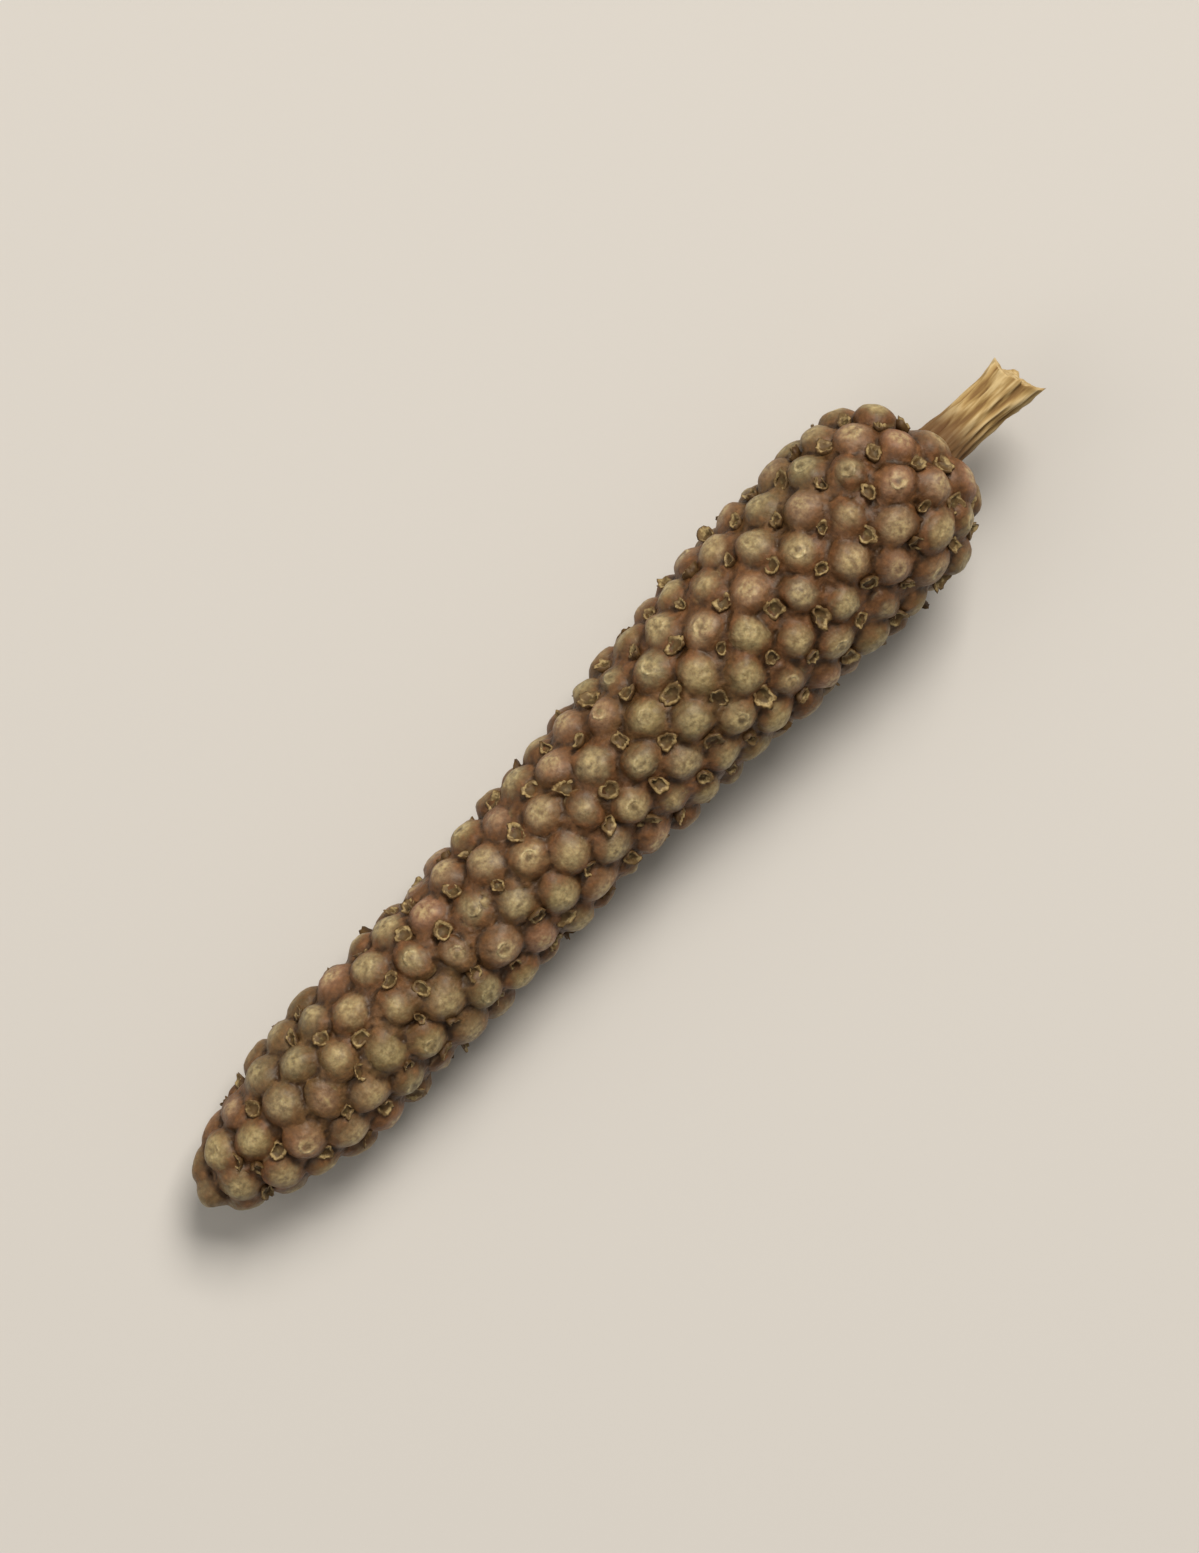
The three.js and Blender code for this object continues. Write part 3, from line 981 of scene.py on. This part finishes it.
# %% Say where each colour of the skin goes
tint = add_node(tree, "ValToRGB", {"Fac": seed_out}, ramp=[
    (0.0, "#8d7a54"), (0.12, "#99885f"), (0.25, "#8f705a"), (0.38, "#95855e"),
    (0.5, "#7e6c53"), (0.62, "#97835d"), (0.74, "#936c54"), (0.86, "#857858"), (1.0, "#957f5a"),
]).outputs["Color"]
red = add_node(tree, "ValToRGB", {"Fac": mottle}, ramp=[
    (0.3, "#482c10"), (0.5, "#644222"), (0.7, "#7e5735"),
]).outputs["Color"]
part = {}
for name, follows, start, full, strength in (
    ("side", wobbly, 0.38, 1.05, 1.0),
    # the pale top is partly the berry's own colour and partly painted highlight
    ("top", wobbly, 0.72, 0.1, 1.0),
    ("clear of berries", wobbly, 0.5, 1.0, 1.0),
    # painted shade: the deepest hollows are darkened
    ("painted_shade", hollow_out, 0.1, 1.4, 0.92),
    ("rubbed", hollow_out, -0.9, -2.6, 0.45),
):
    part[name] = add_node(tree, "MapRange", {
        "Value": follows, "From Min": start, "From Max": full, "To Max": strength,
    }, interpolation_type="SMOOTHSTEP").outputs["Result"]
# the pale top, partly painted highlight, is broken into painted highlight flecks
top = add_node(tree, "Math", {"Value": part["top"], "Value_001": highlight_flecks},
               operation="MULTIPLY").outputs["Value"]
is_flesh = add_node(tree, "Math", {"Value": seed_out, "Value_001": -0.2},
                    operation="LESS_THAN").outputs["Value"]
open_flesh = add_node(tree, "Math", {"Value": is_flesh, "Value_001": part["clear of berries"]},
                      operation="MULTIPLY").outputs["Value"]
olive = add_node(tree, "MapRange", {
    "Value": patch.outputs["Fac"], "From Min": 0.5, "From Max": 0.66, "To Max": 0.3,
}).outputs["Result"]
print("The skin has", len(tree.nodes), "nodes so far")

# %% [markdown]
# The flower's scar is a dark pit with a pale crescent on one side of it. The pit's darkness is partly the
# scar's own colour and partly painted shade, and the crescent's paleness is partly its own colour and partly
# painted highlight on the raised ridge. The berry's seed says how plain the scar is and which way it faces,
# by the same sums as in the shape, so the pale crescent is on the raised one.

# %% Mark the flower's scars
SCAR_RING = 0.29
SCAR_WIDTH = 0.1

scar_dice = add_node(tree, "Math", {"Value": seed_out, "Value_001": SCAR_DICE},
                     operation="MULTIPLY").outputs["Value"]
scar_dice = add_node(tree, "Math", {"Value": scar_dice}, operation="FRACT").outputs["Value"]
scarred = add_node(tree, "MapRange", {
    "Value": scar_dice, "From Min": SCAR_FROM, "From Max": SCAR_TO,
}, interpolation_type="SMOOTHSTEP").outputs["Result"]
middle = add_node(tree, "VectorMath", {"Vector": dome}, operation="LENGTH").outputs["Value"]
pit = add_node(tree, "MapRange", {
    "Value": middle, "From Min": 0.18, "From Max": 0.06, "To Max": 0.6,
}, interpolation_type="SMOOTHSTEP").outputs["Result"]
pit = add_node(tree, "Math", {"Value": pit, "Value_001": scarred},
               operation="MULTIPLY").outputs["Value"]
dome_parts = add_node(tree, "SeparateXYZ", {"Vector": dome})
turn = add_node(tree, "Math", {
    "Value": dome_parts.outputs["Y"], "Value_001": dome_parts.outputs["X"],
}, operation="ARCTAN2").outputs["Value"]
off_turn = add_node(tree, "Math", {
    "Value": seed_out, "Value_001": -CRESCENT_TURNS, "Value_002": turn,
}, operation="MULTIPLY_ADD").outputs["Value"]
facing = add_node(tree, "Math", {"Value": off_turn}, operation="COSINE").outputs["Value"]
facing = add_node(tree, "MapRange", {
    "Value": facing, "From Min": -0.4, "From Max": 0.7,
}).outputs["Result"]
off_ring = add_node(tree, "Math", {"Value": middle, "Value_001": SCAR_RING},
                    operation="SUBTRACT").outputs["Value"]
off_ring = add_node(tree, "Math", {"Value": off_ring}, operation="ABSOLUTE").outputs["Value"]
ring = add_node(tree, "MapRange", {
    "Value": off_ring, "From Min": SCAR_WIDTH, "From Max": 0.01,
}, interpolation_type="SMOOTHSTEP").outputs["Result"]
crescent = add_node(tree, "Math", {"Value": ring, "Value_001": facing},
                    operation="MULTIPLY").outputs["Value"]
crescent = add_node(tree, "Math", {"Value": crescent, "Value_001": scarred},
                    operation="MULTIPLY").outputs["Value"]
pale_crescent = add_node(tree, "Math", {"Value": crescent, "Value_001": highlight_flecks},
                         operation="MULTIPLY").outputs["Value"]
print("A scar's crescent is", SCAR_RING, "mm from its middle")

# %% Lay the colours over each other
layers = [
    (part["side"], red),
    # the pale top: partly the berry's own colour, partly painted highlight
    (top, colour("#b9aa80")),
    # the crescent: partly its own colour, partly painted highlight on the raised ridge
    (pale_crescent, colour("#cdc096")),
    # the pit: partly its own colour, partly painted shade
    (pit, colour("#4c381d")),
    (open_flesh, red),
    (olive, colour("#6f6844")),
    # painted shade in the hollows
    (part["painted_shade"], colour("#3d260b")),
    (part["rubbed"], colour("#b9a87e")),
]
skin_colour = tint
for share, laid_over in layers:
    skin_colour = add_node(tree, "Mix", {
        "Factor_Float": share, "A_Color": skin_colour, "B_Color": laid_over,
    }, data_type="RGBA").outputs[MIXED_COLOUR]
shade = add_node(tree, "MapRange", {
    "Value": speckle, "From Min": 0.3, "From Max": 0.7, "To Min": 0.74, "To Max": 1.2,
}).outputs["Result"]
skin_colour = add_node(tree, "VectorMath", {"Vector": skin_colour, "Scale": shade},
                       operation="SCALE").outputs["Vector"]
print("The skin has", len(layers), "colours over its tint")

# %% [markdown]
# Four bumps add up: the scar's crescent, the lumps of the mottling, the wrinkles, which are deeper on the
# flesh, and a fine grain that keeps the gloss from looking wet. A thin coat and a little light under the
# surface give the waxy look of dried fruit.

# %% Wrinkle and finish the berry skin
WRINKLES = 0.34 * MM  # folds from when the skin shrank
GRAIN = 0.09 * MM  # the real grain is too fine to show in the render, so it is drawn this coarse

wrinkles = add_node(tree, "TexNoise", {"Vector": where, "Scale": 1 / WRINKLES, "Detail": 3.0},
                    noise_type="RIDGED_MULTIFRACTAL").outputs["Fac"]
grain = add_node(tree, "TexNoise", {"Vector": where, "Scale": 1 / GRAIN, "Detail": 2.0})
wrinkle_depth = add_node(tree, "MapRange", {
    "Value": is_flesh, "To Min": 0.055 * MM, "To Max": 0.12 * MM,
}).outputs["Result"]
reliefs = [  # a pattern, its strength and its depth
    (mottle, 0.8, 0.13 * MM),
    (wrinkles, 0.8, wrinkle_depth),
    (grain.outputs["Fac"], 0.5, 0.02 * MM),
]
bump = add_node(tree, "Bump", {"Height": crescent, "Strength": 0.8, "Distance": 0.05 * MM})
for pattern, strength, depth in reliefs:
    bump = add_node(tree, "Bump", {
        "Height": pattern, "Strength": strength, "Distance": depth, "Normal": bump.outputs["Normal"],
    })
roughness = add_node(tree, "MapRange", {
    "Value": mottle, "From Min": 0.3, "From Max": 0.7, "To Min": 0.48, "To Max": 0.7,
}).outputs["Result"]
shader = add_node(tree, "BsdfPrincipled", {
    "Base Color": skin_colour, "Roughness": roughness, "IOR": 1.45, "Normal": bump.outputs["Normal"],
    "Coat Weight": 0.12, "Coat Roughness": 0.3,
    "Subsurface Weight": 0.2, "Subsurface Radius": (1.0, 0.6, 0.4), "Subsurface Scale": 0.3 * MM,
})
add_node(tree, "OutputMaterial", {"Surface": shader.outputs["BSDF"]})
spike.data.materials.clear()
spike.data.materials.append(skin)
print("The skin has", len(tree.nodes), "nodes")

# %% [markdown]
# ## Dry bract
#
# A bract is like thin brown paper: cream where its rim stands up and is rubbed, which is partly its own
# colour and partly painted highlight, and dark olive in its hollow.

# %% Make the dry bract
FIBRE = 0.12 * MM  # the real fibres are too fine to show in the render, so they are drawn this coarse
STAIN = 0.3 * MM  # a few stains on each bract

dry_bract, tree = new_material("dry_bract")
where = add_node(tree, "TexCoord").outputs["Object"]
plan = add_node(tree, "UVMap", uv_map="plan").outputs["UV"]
from_middle = add_node(tree, "VectorMath", {"Vector": plan}, operation="LENGTH").outputs["Value"]
fibre = add_node(tree, "TexNoise", {"Vector": where, "Scale": 1 / FIBRE, "Detail": 3.0})
wobble = add_node(tree, "Math", {
    "Value": fibre.outputs["Fac"], "Value_001": 0.5, "Value_002": -0.25,
}, operation="MULTIPLY_ADD").outputs["Value"]
rim = add_node(tree, "Math", {"Value": from_middle, "Value_001": wobble},
               operation="ADD").outputs["Value"]
# the cream stop lies on the rim's crest: partly the bract's own colour, partly painted highlight
bract_colour = add_node(tree, "ValToRGB", {"Fac": rim}, ramp=[
    (0.0, "#7c6b45"), (0.2, "#4f4022"), (0.5, "#584627"),
    (0.72, "#b9a678"), (0.9, "#90784c"), (1.0, "#4a3318"),
]).outputs["Color"]
stain = add_node(tree, "TexNoise", {"Vector": where, "Scale": 1 / STAIN, "Detail": 3.0})
stained = add_node(tree, "MapRange", {
    "Value": stain.outputs["Fac"], "From Min": 0.42, "From Max": 0.56, "To Max": 0.85,
}).outputs["Result"]
bract_colour = add_node(tree, "Mix", {
    "Factor_Float": stained, "A_Color": bract_colour, "B_Color": colour("#5e4727"),
}, data_type="RGBA").outputs[MIXED_COLOUR]
bump = add_node(tree, "Bump", {
    "Height": fibre.outputs["Fac"], "Strength": 0.5, "Distance": 0.02 * MM,
})
shader = add_node(tree, "BsdfPrincipled", {
    "Base Color": bract_colour, "Roughness": 0.6, "IOR": 1.45, "Normal": bump.outputs["Normal"],
})
add_node(tree, "OutputMaterial", {"Surface": shader.outputs["BSDF"]})
bract_piece.data.materials.append(dry_bract)
print("The bracts' paper has", len(tree.nodes), "nodes")

# %% [markdown]
# ## Dry stalk fibre
#
# The stalk is straw: matt and pale on the ridges, brown in the grooves and where it leaves the spike. The
# paler ridges and browner grooves are partly the straw's own streaks and partly painted highlight and painted
# shade.

# %% Make the dry stalk fibre
STREAK = 0.12 * MM  # a bundle of fibres, because one alone is too fine to show in the render
STREAK_LENGTH = 1.2 * MM
BROWN_FROM = 2.0 * MM  # from the root, where the brown begins
BROWN_TO = 0.7 * MM

straw, tree = new_material("dry_stalk_fibre")
where = add_node(tree, "TexCoord").outputs["Object"]
stretched = add_node(tree, "Mapping", {
    "Vector": where, "Scale": (1 / STREAK_LENGTH, 1 / STREAK, 1 / STREAK),
})
streaks = add_node(tree, "TexNoise", {
    "Vector": stretched.outputs["Vector"], "Scale": 1.0, "Detail": 4.0, "Roughness": 0.65,
})
strands = add_node(tree, "UVMap", uv_map="strands").outputs["UV"]
strand_parts = add_node(tree, "SeparateXYZ", {"Vector": strands})
paleness = add_node(tree, "Math", {
    "Value": streaks.outputs["Fac"], "Value_001": 0.9, "Value_002": -0.45,
}, operation="MULTIPLY_ADD").outputs["Value"]
paleness = add_node(tree, "Math", {"Value": strand_parts.outputs["X"], "Value_001": paleness},
                    operation="ADD").outputs["Value"]
# pale stops for the ridges, partly painted highlight; brown ones for the grooves, partly painted shade
straw_colour = add_node(tree, "ValToRGB", {"Fac": paleness}, ramp=[
    (0.0, "#86683e"), (0.35, "#a98d5a"), (0.65, "#bfa573"), (0.95, "#d6c192"),
]).outputs["Color"]
along_x = add_node(tree, "SeparateXYZ", {"Vector": where}).outputs["X"]
root_at = (stalk_from + to_frame.x) * MM
root = add_node(tree, "MapRange", {
    "Value": along_x, "From Min": root_at + BROWN_FROM, "From Max": root_at + BROWN_TO, "To Max": 0.8,
}).outputs["Result"]
straw_colour = add_node(tree, "Mix", {
    "Factor_Float": root, "A_Color": straw_colour, "B_Color": colour("#65442a"),
}, data_type="RGBA").outputs[MIXED_COLOUR]
bump = add_node(tree, "Bump", {
    "Height": streaks.outputs["Fac"], "Strength": 0.8, "Distance": 0.05 * MM,
})
shader = add_node(tree, "BsdfPrincipled", {
    "Base Color": straw_colour, "Roughness": 0.75, "IOR": 1.45, "Normal": bump.outputs["Normal"],
})
add_node(tree, "OutputMaterial", {"Surface": shader.outputs["BSDF"]})
stalk.data.materials.append(straw)
print("The straw has", len(tree.nodes), "nodes")

# %% [markdown]
# ## Floor, light and camera
#
# The pepper lies on a pale floor in soft light that comes mostly from above and from the picture's top. The
# camera looks straight down, and is turned so that the stalk points up and to the right.

# %% Make the floor
FLOOR_SIZE = 600
FLOOR_DROP = 0.02

bm = bmesh.new()
bmesh.ops.create_grid(bm, x_segments=2, y_segments=2, size=FLOOR_SIZE * MM)
bmesh.ops.translate(bm, verts=bm.verts, vec=(0, 0, -FLOOR_DROP * MM))
floor = new_object("floor", bm)
pale, tree = new_material("pale_floor")
shader = add_node(tree, "BsdfPrincipled", {"Base Color": colour("#d6d8db"), "Roughness": 0.9})
add_node(tree, "OutputMaterial", {"Surface": shader.outputs["BSDF"]})
floor.data.materials.append(pale)
print("The floor is", 2 * FLOOR_SIZE, "mm wide")

# %% Light the pepper
TURNED = math.radians(-44.4)  # how far the picture is turned from the frame's X

low, high = (Vector(corner) for corner in cad_box)
middle_point = (low + high) / 2
world = bpy.data.worlds.new("soft_room")
world.use_nodes = True
world.node_tree.nodes["Background"].inputs["Color"].default_value = colour("#fcf2e2")
world.node_tree.nodes["Background"].inputs["Strength"].default_value = 0.22
bpy.context.scene.world = world
bpy.context.scene.view_settings.view_transform = "Standard"


def add_lamp(name, direction, distance, size, watts, hex_value):
    """A square soft light that faces the pepper. Its direction is right, up and towards the camera."""
    lamp = bpy.data.lights.new(name, "AREA")
    lamp.size = size * MM
    lamp.energy = watts
    lamp.color = colour(hex_value)[:3]
    lamp_object = bpy.data.objects.new(name, lamp)
    away = Matrix.Rotation(TURNED, 3, "Z") @ Vector(direction).normalized()
    lamp_object.location = middle_point + away * distance * MM
    lamp_object.rotation_euler = away.to_track_quat("Z", "Y").to_euler()
    bpy.context.scene.collection.objects.link(lamp_object)


add_lamp("key", (0.3, 0.85, 1.15), 800, 370, 6.1, "#fff3e2")
add_lamp("fill", (-0.9, -0.3, 0.9), 900, 780, 2.0, "#fff3e2")
print("The lights are", [light.name for light in bpy.data.lights])

# %% Place the camera
FRAME_WIDTH = 46.0
IMAGE_SHAPE = 1553 / 1199
LENS = 120
SENSOR = 36

camera_data = bpy.data.cameras.new("camera")
camera_data.lens = LENS
camera_data.sensor_width = SENSOR
camera_data.clip_start = 10 * MM
camera = bpy.data.objects.new("camera", camera_data)
distance = FRAME_WIDTH * IMAGE_SHAPE * LENS / SENSOR
camera.location = middle_point + Vector((0, 0, distance * MM))
camera.rotation_euler = (0, 0, TURNED)
bpy.context.scene.collection.objects.link(camera)
bpy.context.scene.camera = camera
print(f"The camera is {distance:.0f} mm above the pepper")

# %% [markdown]
# ## Hand the pieces over
#
# The fine pieces replace the two solids of the frame. Nothing moves, so all ride on the one body.

# %% Ride, replace and finish
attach(spike, "root")
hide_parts("fruit_spike")
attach(bract_piece, "root")
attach(stalk, "root")
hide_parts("stalk")

bpy.context.view_layer.update()
